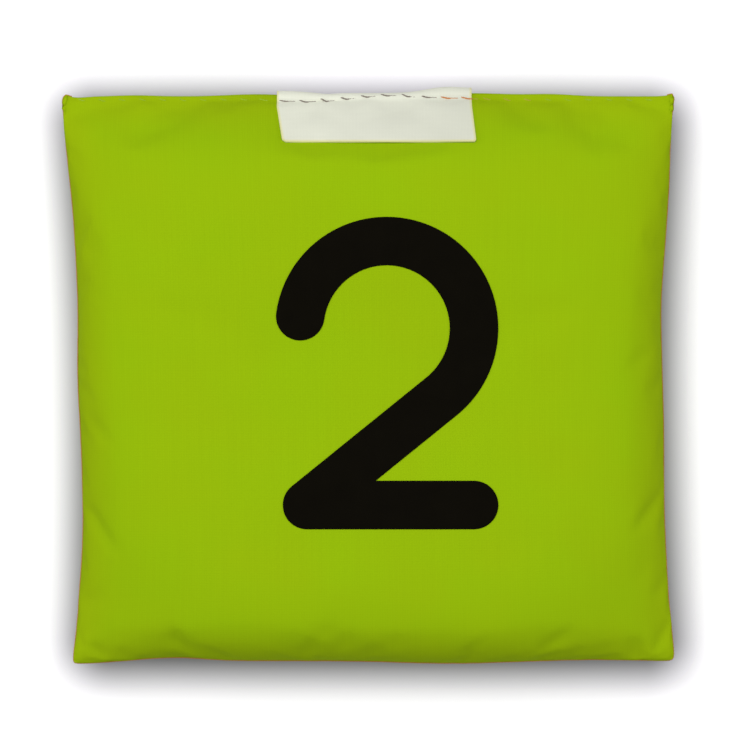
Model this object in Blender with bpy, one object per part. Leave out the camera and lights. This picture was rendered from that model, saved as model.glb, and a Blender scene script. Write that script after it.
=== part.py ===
"""Square toss bean bag, lying on its back.

Two cloth panels are sewn together inside out along the left, bottom and right edges, turned, filled with
plastic pellets and closed by a row of stitches through the turned-in top edge. A ribbon label is folded over
that edge and caught by the same row. +Z is up, +Y points to the closed edge, and the origin is under the
middle of the bag.
"""

import math

import bmesh
import bpy

# Bag
BAG_WIDTH = 0.1200  # between the corners of the closed edge
BAG_LENGTH = 0.1113  # from the closed edge to the bottom seam
BAG_THICKNESS = 0.0280  # from the ground to the top of the front
SEAM_HEIGHT = 0.0125  # of the line where the two panels meet
LOWER_LEFT_STEP = 0.0023  # how far the lower left corner lies inside the upper left one
SIDE_DRAW = 0.0022  # how far the fill draws each side in at half its length
CORNER_BOW = 2.0  # power of the curve along which a side is drawn in

# How the cloth rises from its edges: powers of one curve, which is 0 at an edge and 1 in the middle
EDGE_POWER = 3.0  # how flat the middle is
SEAM_POWER = 0.56  # how steeply the cloth leaves a seam
LIP_POWER = 0.85  # how steeply it leaves the closed edge
BACK_FULLNESS = 1.12  # how far the back would hang on no ground, as a multiple of its depth
TURN_UP_POWER = 1.4  # how softly the back turns up around the flat face that it rests on

# Cloth
CLOTH = 0.0005  # thickness
FOLD_SPACE = 0.0002  # between a panel and its turned-in edge
SEAM_ALLOWANCE = 0.0060  # width of the turned-in edge
FOLD_CHAMFER = 0.00045  # rounding of the fold at the seam line
LIP_DEPTH = 0.0025  # flat border that the closing stitches press along the closed edge
CELLS = 18  # steps of a panel's surface each way

# Spaces between pieces
GAP = 0.0003  # between pieces that touch

# Label ribbon
RIBBON = 0.0004  # thickness
LABEL_WIDTH = 0.0387
LABEL_SHIFT = 0.0014  # of its middle to the right of the bag's
LABEL_HANG = 0.0090  # how far its flaps reach in from the closed edge, seen from above
LABEL_TAPER = 0.0015  # how much its left side leans in at the flap's end
LABEL_CORNER = 0.0012  # radius of a flap's corners
LABEL_BEND = 0.0009  # outer radius of the ribbon where it turns round the closed edge
LABEL_LEAN = math.radians(40)  # slope of the cloth under the flaps
HINGE_SETBACK = 0.0019  # from the closed edge to the line on which a flap bends
LABEL_CELL = 0.0016  # spacing of the cuts that let a flap curve with the cloth

# Printed numeral
NUMERAL_WIDTH = 0.0434
NUMERAL_HEIGHT = 0.0605
NUMERAL_STROKE = 0.0094
NUMERAL_RIGHT = 0.0035  # of its middle from the bag's
NUMERAL_UP = 0.0010
NUMERAL_FOOT_STEP = 0.0015  # the corner of its foot lies this far inside its left side
NUMERAL_CELL = 0.0060  # spacing of the cuts that let the print curve with the cloth
PRINT_FILM = 0.0002  # thickness of the print
NUMERAL_START = math.radians(172)  # where its upper stroke begins, round from the right

# Threads
THREAD = 0.0003  # diameter
SEAM_STITCH = 0.0032  # length of one stitch
SEAM_THREAD_OUT = 0.00012  # from the seam line outwards to a thread's middle
SEAM_THREAD_SPREAD = 0.00030  # of each thread's middle from the seam line, up or down
SEAM_THREAD_SWING = 0.00004  # how far a thread leans to the other one at each stitch
CLOSING_STITCH = 0.00355
CLOSING_SETBACK = 0.0010  # from the closed edge to the row of stitches
CLOSING_END = 0.0020  # from the bag's corners to the ends of the row
CLOSING_DIP = 0.00010  # how far the thread sinks at each needle hole

# Worked out from the sizes above
RIM = 2 * CLOTH + FOLD_SPACE  # height of a panel at its edge: the cloth and its turned-in edge
THREAD_STAND = SEAM_THREAD_OUT + THREAD / 2
LABEL_STAND = GAP + RIBBON
MIDDLE_Y = (THREAD_STAND - LABEL_STAND) / 2  # puts the origin under the middle of the whole part
CLOSED_EDGE_Y = MIDDLE_Y + BAG_LENGTH / 2
FRONT_SEAM_FACE = SEAM_HEIGHT + GAP / 2
BACK_SEAM_FACE = SEAM_HEIGHT - GAP / 2
FRONT_RISE = BAG_THICKNESS - FRONT_SEAM_FACE - RIM
BACK_DROP = BACK_SEAM_FACE - RIM
LIP_TOP = FRONT_SEAM_FACE + RIM
LIP_UNDERSIDE = BACK_SEAM_FACE - RIM
HINGE_Y = CLOSED_EDGE_Y - HINGE_SETBACK
STITCH_Y = CLOSED_EDGE_Y - CLOSING_SETBACK
LABEL_END_Y = CLOSED_EDGE_Y - LABEL_HANG
LABEL_LEFT = LABEL_SHIFT - LABEL_WIDTH / 2
LABEL_RIGHT = LABEL_SHIFT + LABEL_WIDTH / 2
FLAP_GAP = GAP / math.cos(LABEL_LEAN)  # measured straight up, so that it is GAP across the slope
FLAP_THICKNESS = RIBBON / math.cos(LABEL_LEAN)

FRONT = 1
BACK = -1
LINEN_GREEN = (0.29, 0.51, 0.008)
PRINT_BLACK = (0.004, 0.004, 0.004)
RIBBON_CREAM = (0.78, 0.78, 0.66)
THREAD_ORANGE = (0.50, 0.13, 0.02)
PELLET_WHITE = (0.75, 0.74, 0.70)


def clear_scene():
    for old in list(bpy.data.objects):
        bpy.data.objects.remove(old, do_unlink=True)


def material(name, colour, roughness):
    new = bpy.data.materials.new(name)
    new.use_nodes = True
    shader = new.node_tree.nodes["Principled BSDF"]
    shader.inputs["Base Color"].default_value = (*colour, 1.0)
    shader.inputs["Roughness"].default_value = roughness
    shader.inputs["Metallic"].default_value = 0.0
    return new


def add_object(name, data, finish):
    new = bpy.data.objects.new(name, data)
    data.materials.append(finish)
    bpy.context.scene.collection.objects.link(new)
    return new


def finish_mesh(name, bm, finish, hinge=None):
    """Makes an object of a bmesh. With a hinge, its origin lies on the hinge's axis."""
    bmesh.ops.recalc_face_normals(bm, faces=bm.faces)
    if hinge:
        bmesh.ops.translate(bm, verts=bm.verts, vec=[-distance for distance in hinge])
    mesh = bpy.data.meshes.new(name)
    bm.to_mesh(mesh)
    bm.free()
    mesh.shade_smooth()
    mesh.set_sharp_from_angle(angle=math.radians(40))
    new = add_object(name, mesh, finish)
    if hinge:
        new.location = hinge
    return new


# Shape of the bag: across runs from -1 at the left edge to 1 at the right, and along from -1 at the bottom to
# 1 at the closed edge


def sides_at(along, inset):
    """The bag's left and right edges at one level, each stepped in by the inset."""
    draw = SIDE_DRAW * (1 - abs(along) ** CORNER_BOW)
    step = LOWER_LEFT_STEP * (1 - along) / 2
    left = -BAG_WIDTH / 2 + step + draw + inset
    right = BAG_WIDTH / 2 - draw - inset
    return left, right


def outline_point(across, along, inset):
    left, right = sides_at(along, inset)
    x = left + (right - left) * (across + 1) / 2
    y = MIDDLE_Y + along * (BAG_LENGTH / 2 - inset)
    return x, y


def rise_share(share, power):
    return max(0.0, 1 - abs(share) ** EDGE_POWER) ** power


def swell(across, along):
    """Height of the cloth above its rim, from 0 at the seams and on the lip to 1 in the middle."""
    lip = LIP_DEPTH / BAG_LENGTH
    dome_along = (along + lip) / (1 - lip)
    power = LIP_POWER if dome_along > 0 else SEAM_POWER
    return rise_share(across, SEAM_POWER) * rise_share(dome_along, power)


def settled_swell(across, along):
    """As swell, for the back, which the ground flattens where it would be fullest."""
    return 1 - max(0.0, 1 - BACK_FULLNESS * swell(across, along)) ** TURN_UP_POWER


def shares_at(x, y, inset):
    along = (y - MIDDLE_Y) / (BAG_LENGTH / 2 - inset)
    left, right = sides_at(along, inset)
    return 2 * (x - left) / (right - left) - 1, along


def front_height(x, y, depth=0):
    """Top of the front panel over a point of the ground, or of a layer this deep inside it."""
    return LIP_TOP - depth + FRONT_RISE * swell(*shares_at(x, y, depth))


def back_height(x, y, depth=0):
    """Underside of the back panel, flattened where it rests, or of a layer this deep inside it."""
    return LIP_UNDERSIDE + depth - BACK_DROP * settled_swell(*shares_at(x, y, depth))


# Cloth panels and fill


def spread(step):
    """Moves a surface's even steps closer together near the edges, where it bends most."""
    return math.sin(step * math.pi / 2)


def spread_to_lip(step):
    """As spread, with the last row on the closed edge and the one before it where the lip ends."""
    lip = LIP_DEPTH / BAG_LENGTH
    lip_row = 1 - 2 / CELLS
    if step > 1 - 1 / CELLS:
        return 1.0
    dome_along = spread(2 * (step + 1) / (lip_row + 1) - 1)
    return dome_along * (1 - lip) - lip


class Surface:
    """A mesh whose points remember their share of the way across and along the bag."""

    def __init__(self):
        self.bm = bmesh.new()
        self.across = self.bm.verts.layers.float.new("across")
        self.along = self.bm.verts.layers.float.new("along")

    def add_grid(self, inset, height):
        grid = bmesh.ops.create_grid(self.bm, x_segments=CELLS, y_segments=CELLS, size=1)
        for vert in grid["verts"]:
            vert[self.across] = spread(vert.co.x)
            vert[self.along] = spread_to_lip(vert.co.y)
        self.place(grid["verts"], inset, height)
        return self.border(grid["verts"])

    def place(self, verts, inset, height):
        for vert in verts:
            across, along = vert[self.across], vert[self.along]
            vert.co = (*outline_point(across, along, inset), height(across, along))

    def border(self, verts):
        edges = {edge for vert in verts for edge in vert.link_edges}
        return [edge for edge in edges if edge.is_boundary]

    def step_border(self, border, inset, level):
        """Extrudes a border to a ring at one level, stepped in from the bag's edge."""
        ring = bmesh.ops.extrude_edge_only(self.bm, edges=border)["geom"]
        verts = [part for part in ring if isinstance(part, bmesh.types.BMVert)]
        self.place(verts, inset, lambda across, along: level)
        return [part for part in ring if isinstance(part, bmesh.types.BMEdge)]

    def join(self, border, other):
        bmesh.ops.bridge_loops(self.bm, edges=border + other)


def add_panel(name, side, seam_face, rise, swelling, finish):
    """A cloth panel: its swelling face, its folded edge, the turned-in edge and the inside of the cloth."""

    def face_height(across, along):
        return seam_face + side * (RIM + rise * swelling(across, along))

    def inside_height(across, along):
        return face_height(across, along) - side * CLOTH

    surface = Surface()
    ring = surface.add_grid(0, face_height)
    ring = surface.step_border(ring, 0, seam_face + side * FOLD_CHAMFER)
    ring = surface.step_border(ring, FOLD_CHAMFER, seam_face)
    ring = surface.step_border(ring, SEAM_ALLOWANCE, seam_face)
    ring = surface.step_border(ring, SEAM_ALLOWANCE, seam_face + side * CLOTH)
    ring = surface.step_border(ring, CLOTH, seam_face + side * CLOTH)
    surface.join(ring, surface.add_grid(CLOTH, inside_height))
    return finish_mesh(name, surface.bm, finish)


def add_fill(finish):
    """The settled pellets, inside both panels and clear of their turned-in edges."""
    inset = SEAM_ALLOWANCE + GAP

    def top(across, along):
        return front_height(*outline_point(across, along, inset), CLOTH + GAP)

    def underside(across, along):
        return back_height(*outline_point(across, along, inset), CLOTH + GAP)

    surface = Surface()
    upper = surface.add_grid(inset, top)
    surface.join(upper, surface.add_grid(inset, underside))
    return finish_mesh("bean_fill", surface.bm, finish)


# Thin pieces that lie on the cloth


def arc(centre, radius, start, end, steps):
    """Points along an arc, both ends included."""
    points = []
    for step in range(steps + 1):
        angle = start + (end - start) * step / steps
        points.append((centre[0] + radius * math.cos(angle), centre[1] + radius * math.sin(angle)))
    return points


def cut_lines(low, high, spacing):
    steps = math.ceil((high - low) / spacing)
    return [low + (high - low) * step / steps for step in range(1, steps)]


def add_laid_piece(name, outline, spacing, near, far, finish, hinge=None):
    """A thin piece of the given outline, whose two faces follow the heights near and far."""
    bm = bmesh.new()
    bm.faces.new([bm.verts.new((x, y, 0)) for x, y in outline])
    for axis in (0, 1):
        places = [point[axis] for point in outline]
        for place in cut_lines(min(places), max(places), spacing):
            plane = [0, 0, 0]
            normal = [0, 0, 0]
            plane[axis] = place
            normal[axis] = 1
            everything = bm.verts[:] + bm.edges[:] + bm.faces[:]
            bmesh.ops.bisect_plane(bm, geom=everything, plane_co=plane, plane_no=normal)
    near_verts = bm.verts[:]
    raised = bmesh.ops.extrude_face_region(bm, geom=bm.faces[:])["geom"]
    far_verts = [part for part in raised if isinstance(part, bmesh.types.BMVert)]
    for vert in near_verts:
        vert.co.z = near(vert.co.x, vert.co.y)
    for vert in far_verts:
        vert.co.z = far(vert.co.x, vert.co.y)
    return finish_mesh(name, bm, finish, hinge)


def numeral_outline():
    """A plain figure two of one stroke with round ends: an arch, a straight run down, and its foot."""
    half = NUMERAL_STROKE / 2
    middle_x = NUMERAL_RIGHT
    middle_y = MIDDLE_Y + NUMERAL_UP
    radius = NUMERAL_WIDTH / 2 - half
    arch = (middle_x, middle_y + NUMERAL_HEIGHT / 2 - half - radius)
    foot_y = middle_y - NUMERAL_HEIGHT / 2 + half
    heel = (middle_x - radius + NUMERAL_FOOT_STEP, foot_y)
    toe = (middle_x + radius, foot_y)
    reach = math.dist(arch, heel)
    arch_end = math.atan2(heel[1] - arch[1], heel[0] - arch[0]) + math.acos(radius / reach)
    run_angle = arch_end - math.pi / 2
    foot_angle = run_angle + math.pi  # of the run, seen from the heel
    notch = half / math.tan(foot_angle / 2)
    start = (arch[0] + radius * math.cos(NUMERAL_START), arch[1] + radius * math.sin(NUMERAL_START))

    outline = arc(arch, radius + half, NUMERAL_START, arch_end, 20)
    outline.append((heel[0] + notch, heel[1] + half))
    outline += arc(toe, half, math.pi / 2, -math.pi / 2, 6)
    outline += arc(heel, half, -math.pi / 2, foot_angle - 3 * math.pi / 2, 5)
    outline += arc(arch, radius - half, arch_end, NUMERAL_START, 14)
    outline += arc(start, half, NUMERAL_START + math.pi, NUMERAL_START, 6)[1:-1]
    return outline


def add_numeral(finish):
    def near(x, y):
        return front_height(x, y) + GAP

    def far(x, y):
        return near(x, y) + PRINT_FILM

    return add_laid_piece("numeral_print", numeral_outline(), NUMERAL_CELL, near, far, finish)


# Label


def flap_outline():
    """A flap from its hinge line to its end, with round corners and a left side that leans in."""
    root_y = HINGE_Y - GAP
    left = LABEL_LEFT + LABEL_TAPER
    lower_right = (LABEL_RIGHT - LABEL_CORNER, LABEL_END_Y + LABEL_CORNER)
    lower_left = (left + LABEL_CORNER, LABEL_END_Y + LABEL_CORNER)
    outline = [(LABEL_RIGHT, root_y)]
    outline += arc(lower_right, LABEL_CORNER, 0, -math.pi / 2, 3)
    outline += arc(lower_left, LABEL_CORNER, -math.pi / 2, -math.pi, 3)
    outline.append((LABEL_LEFT, root_y))
    return outline


def add_flap(name, side, cloth_height, finish):
    """One free end of the ribbon, lying along the cloth. It bends on the outer face of the sewn part."""

    def near(x, y):
        return cloth_height(x, y) + side * FLAP_GAP

    def far(x, y):
        return near(x, y) + side * FLAP_THICKNESS

    lip = LIP_TOP if side == FRONT else LIP_UNDERSIDE
    hinge = (LABEL_SHIFT, HINGE_Y, lip + side * (FLAP_GAP + FLAP_THICKNESS))
    return add_laid_piece(name, flap_outline(), LABEL_CELL, near, far, finish, hinge)


def fold_path(standoff, bend):
    """The ribbon's way round the closed edge, this far from the cloth: over the front, down and under."""
    end_y = CLOSED_EDGE_Y + standoff
    top = LIP_TOP + standoff
    underside = LIP_UNDERSIDE - standoff
    path = [(HINGE_Y, top)]
    path += arc((end_y - bend, top - bend), bend, math.pi / 2, 0, 4)
    path += arc((end_y - bend, underside + bend), bend, 0, -math.pi / 2, 4)
    path.append((HINGE_Y, underside))
    return path


def add_label_fold(finish):
    """The sewn part of the ribbon, folded over the closed edge."""
    outer = fold_path(GAP + RIBBON, LABEL_BEND)
    inner = fold_path(GAP, LABEL_BEND - RIBBON)
    bm = bmesh.new()
    bm.faces.new([bm.verts.new((LABEL_LEFT, y, z)) for y, z in outer + inner[::-1]])
    far_end = bmesh.ops.extrude_face_region(bm, geom=bm.faces[:])["geom"]
    verts = [part for part in far_end if isinstance(part, bmesh.types.BMVert)]
    bmesh.ops.translate(bm, verts=verts, vec=(LABEL_WIDTH, 0, 0))
    return finish_mesh("label_fold", bm, finish)


# Threads


def add_thread(name, points, finish):
    curve = bpy.data.curves.new(name, "CURVE")
    curve.dimensions = "3D"
    curve.bevel_depth = THREAD / 2
    curve.bevel_resolution = 0
    curve.use_fill_caps = True
    spline = curve.splines.new("POLY")
    spline.points.add(len(points) - 1)
    for place, point in zip(spline.points, points):
        place.co = (*point, 1)
    return add_object(name, curve, finish)


def add_seam_thread(name, side, finish):
    """One of the two threads of the seam, down the left edge, along the bottom and up the right one. It lies
    in the groove between the folds, and leans to the other thread wherever the two are locked together."""
    corners = [(-1, 1), (-1, -1), (1, -1), (1, 1)]
    shares = []
    for start, end in zip(corners, corners[1:]):
        length = BAG_LENGTH if start[0] == end[0] else BAG_WIDTH
        steps = 2 * max(1, round(length / SEAM_STITCH))
        for step in range(steps):
            way = step / steps
            shares.append([first + (last - first) * way for first, last in zip(start, end)])
    shares.append(corners[-1])
    points = []
    for number, (across, along) in enumerate(shares):
        lean = SEAM_THREAD_SWING if number % 2 == 0 else 0
        height = SEAM_HEIGHT + side * (SEAM_THREAD_SPREAD - lean)
        points.append((*outline_point(across, along, -SEAM_THREAD_OUT), height))
    return add_thread(name, points, finish)


def add_closing_thread(name, side, lip, finish):
    """The closing row's thread on one side of the bag, with an arch for each stitch, also on the label."""
    along = (STITCH_Y - MIDDLE_Y) / (BAG_LENGTH / 2)
    left, right = sides_at(along, CLOSING_END)
    steps = 2 * max(1, round((right - left) / CLOSING_STITCH))
    points = []
    for step in range(steps + 1):
        x = left + (right - left) * step / steps
        standoff = GAP + THREAD / 2
        if LABEL_LEFT - CLOSING_STITCH / 2 < x < LABEL_RIGHT + CLOSING_STITCH / 2:
            standoff += GAP + RIBBON
        if step % 2 == 0:
            standoff -= CLOSING_DIP
        points.append((x, STITCH_Y, lip + side * standoff))
    return add_thread(name, points, finish)


def main():
    clear_scene()
    cloth = material("green_cloth", LINEN_GREEN, 0.85)
    film = material("black_print", PRINT_BLACK, 0.60)
    ribbon = material("cream_ribbon", RIBBON_CREAM, 0.55)
    thread = material("orange_thread", THREAD_ORANGE, 0.60)
    pellets = material("white_pellets", PELLET_WHITE, 0.45)

    add_panel("front_panel", FRONT, FRONT_SEAM_FACE, FRONT_RISE, swell, cloth)
    add_panel("back_panel", BACK, BACK_SEAM_FACE, BACK_DROP, settled_swell, cloth)
    add_fill(pellets)
    add_numeral(film)
    add_label_fold(ribbon)
    add_flap("label_front_flap", FRONT, front_height, ribbon)
    add_flap("label_back_flap", BACK, back_height, ribbon)
    add_closing_thread("closing_needle_thread", FRONT, LIP_TOP, thread)
    add_closing_thread("closing_bobbin_thread", BACK, LIP_UNDERSIDE, thread)
    add_seam_thread("seam_needle_thread", FRONT, thread)
    add_seam_thread("seam_bobbin_thread", BACK, thread)


main()
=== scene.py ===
"""The looks of a toss bean bag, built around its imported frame.

Two cloth panels that the fill presses out, a printed numeral, a ribbon label over the closed edge, the
threads of both seams and the loose pellets inside.
"""

import itertools
import math
import random

import bmesh
import bpy
from mathutils import Euler, Matrix, Vector, noise
from mathutils.bvhtree import BVHTree
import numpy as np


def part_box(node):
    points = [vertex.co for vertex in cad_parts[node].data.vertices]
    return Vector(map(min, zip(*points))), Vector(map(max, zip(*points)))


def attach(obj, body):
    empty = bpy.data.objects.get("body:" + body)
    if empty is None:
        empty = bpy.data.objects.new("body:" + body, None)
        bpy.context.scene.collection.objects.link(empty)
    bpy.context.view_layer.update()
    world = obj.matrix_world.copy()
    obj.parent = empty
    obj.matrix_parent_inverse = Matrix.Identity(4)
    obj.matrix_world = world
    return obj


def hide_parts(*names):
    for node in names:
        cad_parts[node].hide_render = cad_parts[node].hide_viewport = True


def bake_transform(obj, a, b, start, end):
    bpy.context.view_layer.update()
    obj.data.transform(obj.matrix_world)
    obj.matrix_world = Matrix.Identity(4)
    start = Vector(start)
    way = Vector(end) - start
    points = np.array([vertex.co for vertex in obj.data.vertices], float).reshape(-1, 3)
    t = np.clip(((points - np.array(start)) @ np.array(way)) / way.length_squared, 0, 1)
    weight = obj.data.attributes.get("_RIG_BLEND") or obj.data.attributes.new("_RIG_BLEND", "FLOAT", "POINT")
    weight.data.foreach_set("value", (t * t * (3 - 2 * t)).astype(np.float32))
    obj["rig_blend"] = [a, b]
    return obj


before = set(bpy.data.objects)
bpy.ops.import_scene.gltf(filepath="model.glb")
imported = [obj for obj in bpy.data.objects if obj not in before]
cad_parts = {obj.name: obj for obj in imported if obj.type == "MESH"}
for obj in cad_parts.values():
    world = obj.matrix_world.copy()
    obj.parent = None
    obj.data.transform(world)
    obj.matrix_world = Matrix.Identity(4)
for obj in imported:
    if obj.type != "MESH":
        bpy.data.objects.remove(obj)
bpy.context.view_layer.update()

bl_info = {
    "name": "Toss bean bag",
    "version": (1, 0, 0),
    "blender": (4, 5, 0),
    "location": "3D View > Sidebar > Bean bag",
    "description": "Cloth, print, label, threads and pellets of a toss bean bag, and a plain stage",
    "category": "Object",
}

# Places taken from the frame
PANEL_LOW, PANEL_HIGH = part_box("front_panel")
BACK_LOW, BACK_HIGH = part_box("back_panel")
PRINT_LOW, PRINT_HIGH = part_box("numeral_print")
RIBBON_LOW, RIBBON_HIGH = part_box("label_fold")
FLAP_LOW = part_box("label_front_flap")[0]
ROW_LOW, ROW_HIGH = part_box("closing_needle_thread")
SEAM_LEVEL = (PANEL_LOW.z + BACK_HIGH.z) / 2
MIDDLE_Y = (PANEL_LOW.y + PANEL_HIGH.y) / 2
HALF_WIDTH = (PANEL_HIGH.x - PANEL_LOW.x) / 2
HALF_LENGTH = (PANEL_HIGH.y - PANEL_LOW.y) / 2
ROW_Y = (ROW_LOW.y + ROW_HIGH.y) / 2
HINGE_Y = RIBBON_LOW.y

# Outline of the bag, with the frame's own proportions
SIDE_DRAW = 0.0022  # how far the fill draws each side in at half its length
CORNER_BOW = 2.0  # power of the curve along which a side is drawn in
LOWER_LEFT_STEP = 0.0023  # how far the lower left corner lies inside the upper left one
LOWER_LEFT_CORNER = 0.0001  # how far a turned lower corner is rounded off
LOWER_RIGHT_CORNER = 0.0003
CORNER_SHARPNESS = 100  # power that keeps that rounding to the corners
EAR = 0.0005  # height of the points that the closed edge ends in
EAR_LEAN = 0.0005  # how far the left one leans in
EAR_WIDTH = 0.0010
BEND_FADE = 5  # power that keeps the bends of a seam near it

# Bends of the seams: where along the edge, how far inwards, and how wide
LEFT_BENDS = (
    (0.046, -0.0004, 0.010), (0.000, -0.0005, 0.010), (-0.030, 0.0005, 0.012), (-0.055, -0.0004, 0.005))
RIGHT_BENDS = (
    (0.036, -0.0004, 0.011), (0.014, 0.0003, 0.008), (-0.010, -0.0003, 0.010), (-0.053, -0.0003, 0.006))
CLOSED_BENDS = (
    (-0.058, 0.0003, 0.003), (-0.046, -0.0002, 0.005), (-0.022, -0.0004, 0.008), (0.021, -0.0006, 0.010),
    (0.036, -0.0004, 0.006))
BOTTOM_BENDS = (
    (-0.057, -0.0005, 0.008), (-0.038, 0.0006, 0.008), (0.016, -0.0005, 0.014), (0.045, 0.0002, 0.010))

# How the cloth rises from its edges: powers of one curve, which is 0 at an edge and 1 in the middle
FRONT_SQUARENESS = 6.5  # the higher, the flatter the middle and the steeper the sides
BACK_SQUARENESS = 4.2
SEAM_POWER = 0.42
LIP_POWER = 0.85
BACK_FULLNESS = 1.12
TURN_UP_POWER = 1.4
CORNER_FLATNESS = 0.5  # share of its height that the cloth lacks at a corner, where hardly any pellet gets
CORNER_REACH = 0.022  # how far from a corner that counts
LIP_DEPTH = 0.0014  # flat border that the closing stitches press along the closed edge
LIP_RISE = 0.00075  # of that border over the fold at its edge
LIP_ROUND = 0.0009  # width of the rounding at the closed edge
SHADE_TINT_WIDTH = 0.009  # how far in from a seam the cloth takes a painted tint of its shade, yellower and a little darker

# Cloth panels
FRONT = 1
BACK = -1
COLUMNS = 96  # cells of a panel from side to side
ROWS = 88  # cells from the bottom seam to the closed edge
PROFILE_STEPS = 2000
TURNED_LEVEL = 0.00015  # of the turned-in cloth over the level of the seam
FOLD_TURNS = ((0.0001, 0.00045), (0.00035, 0.0002), (0.001, TURNED_LEVEL))  # how far in and how high it turns

# The fill presses the cloth out in a model this many times larger, at which the cloth settings are usual ones
MODEL_SCALE = 10
MODEL_FRAMES = 20
MODEL_CLOTH = {
    "quality": 6,
    "mass": 0.2,
    "tension_stiffness": 20,
    "compression_stiffness": 20,
    "shear_stiffness": 8,
    "bending_stiffness": 1.5,
    "use_pressure": True,
    "vertex_group_pressure": "pressed_edges",
    "vertex_group_mass": "borders",
}
CALM_WIDTH = 0.018  # how far in from the closed edge the fill presses less, so that the corners stay smooth

# Numeral, as in the frame
NUMERAL_STROKE = 0.0094
NUMERAL_FOOT_STEP = 0.0015
NUMERAL_START = math.radians(172)
NUMERAL_CELL = 0.0012
OUTER_STEPS = 72  # points of its arcs: the outside and the inside of the arch, the heel, and the round ends
INNER_STEPS = 48
HEEL_STEPS = 20
END_STEPS = 24
PRINT_CLEARANCE = 0.00002  # of the film over the cloth, so that their faces don't meet
SHARP = math.radians(40)

# Label
LABEL_COLUMNS = 80
LABEL_CELL = 0.00045  # from row to row along the ribbon
LABEL_END = 0.0006  # from the frame's end of a flap to where the photo's ends
LABEL_END_Y = FLAP_LOW.y - LABEL_END
LEFT_LEAN = 0.0013  # how far each side of a flap leans to the right at its end
RIGHT_LEAN = 0.0007
LEAN_START = 0.0533  # distance from the bag's middle at which that starts
LEFT_LABEL_CORNER = 0.0007
RIGHT_LABEL_CORNER = 0.0003
LABEL_PUFF = 0.00025  # how far the ribbon stands off the closed edge
LABEL_EDGE_BENDS = (
    (-0.015, 0.0002, 0.004), (-0.008, -0.0002, 0.002), (0.015, 0.0008, 0.005), (0.021, 0.0002, 0.003))
LABEL_NARROWING = 0.0004  # from the frame's right side of the ribbon to the photo's
LABEL_WAVE = 0.007  # from wave to wave of the ribbon
FOLD_DEPTH = 0.0006  # how far in from the closed edge its fold begins
FOLD_STEPS = 7
FLAP_LIFT = 0.0003  # how far a flap's end stands off the cloth, times a share that wanders
FLAP_LIFT_SHARE = 0.7
RIBBON_CLEARANCE = 0.00008
RIBBON_YARN = 0.00028  # drawn twice as coarse as such ribbon is, so that it shows
SELVEDGE = 0.0006  # width of its firm edges
RIGHT_SIDE_DARKENING = 0.9  # what the ribbon's white comes down to at its right side, which is drawn darker
BEND_ABOVE = 0.0003  # where a flap starts to bend, above its hinge line, and where it is free, below
BEND_BELOW = 0.0014

# Threads
THREAD_SIDES = 8
THREAD_STEP = 0.00016
WELD_SHARE = 0.02  # of a thread's radius, within which points are joined
PLY_DEPTH = 0.28  # share of the radius that the waist between the plies takes
PLY_TWIST = 0.0012  # length of one turn of the plies
FOLD_LEVELS = (0.4, 0.7, 1.0, 1.5, 2.0)  # shares of the fold's height where its outermost cloth is looked for
EASING_TURNS = 3
SEAM_THREAD_OUT = 0.00017  # from the outermost cloth to a thread's middle
SEAM_THREAD_END = 0.0012  # how far the seam's threads run on along the closed edge
SEAM_THREAD_SPREAD = 0.00024
SEAM_THREAD_SWING = 0.00006
SEAM_SUNK = 0.2  # share of the cloth's tint that the seam's threads take on
ROW_SHIFT = 0.0002  # from the frame's straight row to where the photo's starts
ROW_BENDS = ((-0.014, -0.0004, 0.006), (0.0045, 0.0009, 0.0085), (0.018, 0.0002, 0.006))
ROW_DIP = 0.00018  # how far the closing row draws the ribbon down
ROW_DIP_WIDTH = 0.0006
STITCH_STEPS = 12
STITCH_SLANT = 0.0004  # how far a stitch falls as it runs to the right, times a share that wanders
STITCH_SLANT_SHARE = 0.8
STITCH_SHOWN = 0.75  # share of a stitch that shows at all, and how far that wanders
STITCH_SHOWN_SWING = 0.2
STITCH_HIGH = 0.45  # share of what shows that stands up from the cloth; the rest is half sunk in it
STITCH_TURN = 2 / STITCH_STEPS  # share of what shows over which it rises or sinks
HOLE_SHARE = 0.5  # of its diameter that the thread lies deep in its hole, and how far it rises and sinks
RISE_SHARE = 0.9
SINK_SHARE = 0.8
SUNK_SHARE = 0.52  # of its diameter that the thread lies deeper in the cloth than in the ribbon
SLANT_DRAW = (1.7, 0.5)  # steps and places in the noise that stitches wander by
SHOWN_DRAW = (2.3, 2.5)
DARKENED_END = 0.0135  # how far right the thread is drawn darker and greyer
HALF_SUNK_END = 0.0325  # how far right it is sunk less than elsewhere on the cloth
HALF_SUNK = 0.6

# Pellets
PELLET_SIDES = 6
PELLET_LENGTH_SHARE = 0.8
PELLET_ROUND_SHARE = 0.16
PELLET_SPACING_SHARE = 1.16
PELLET_JITTER_SHARE = 0.06
PELLET_MARGIN_SHARE = 0.55  # of the spacing, from the cloth's inside to a pellet's middle
PELLET_DRAW = 7  # where the random turns of the pellets start

# Materials
WHOLE = (0.0, 1.0)  # the span of a pattern
YARN_RELIEF = 0.1  # share of a yarn's width that its bump is deep
SLUB_YARNS = 40  # length of a thick or thin stretch of a yarn, in yarns
WHITE = (1.0, 1.0, 1.0, 1.0)

# Paper: how far the painted soft shadow runs out past the bag's outline, how wide its soft edge is, how far
# it lies to the right and towards the bottom, and what the camera sees added to the paper's light
SHADE_REACH = 0.0100
SHADE_SOFTNESS = 0.0150
SHADE_RIGHT = 0.0005
SHADE_DOWN = 0.0009
DEEPEST_SHADE = 0.14  # share of its light that the paper keeps under the bag
FLOOR_HALF = 0.4  # half the side of the paper, past which the backdrop is as white
PAPER_LIFT = 0.25
# Tints that keep the shade grey, against the light that the green cloth throws on it: under the bag and away
UNDER_TINT = (1.0, 0.952, 1.11)
OPEN_TINT = (1.0, 0.982, 1.02)


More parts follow.
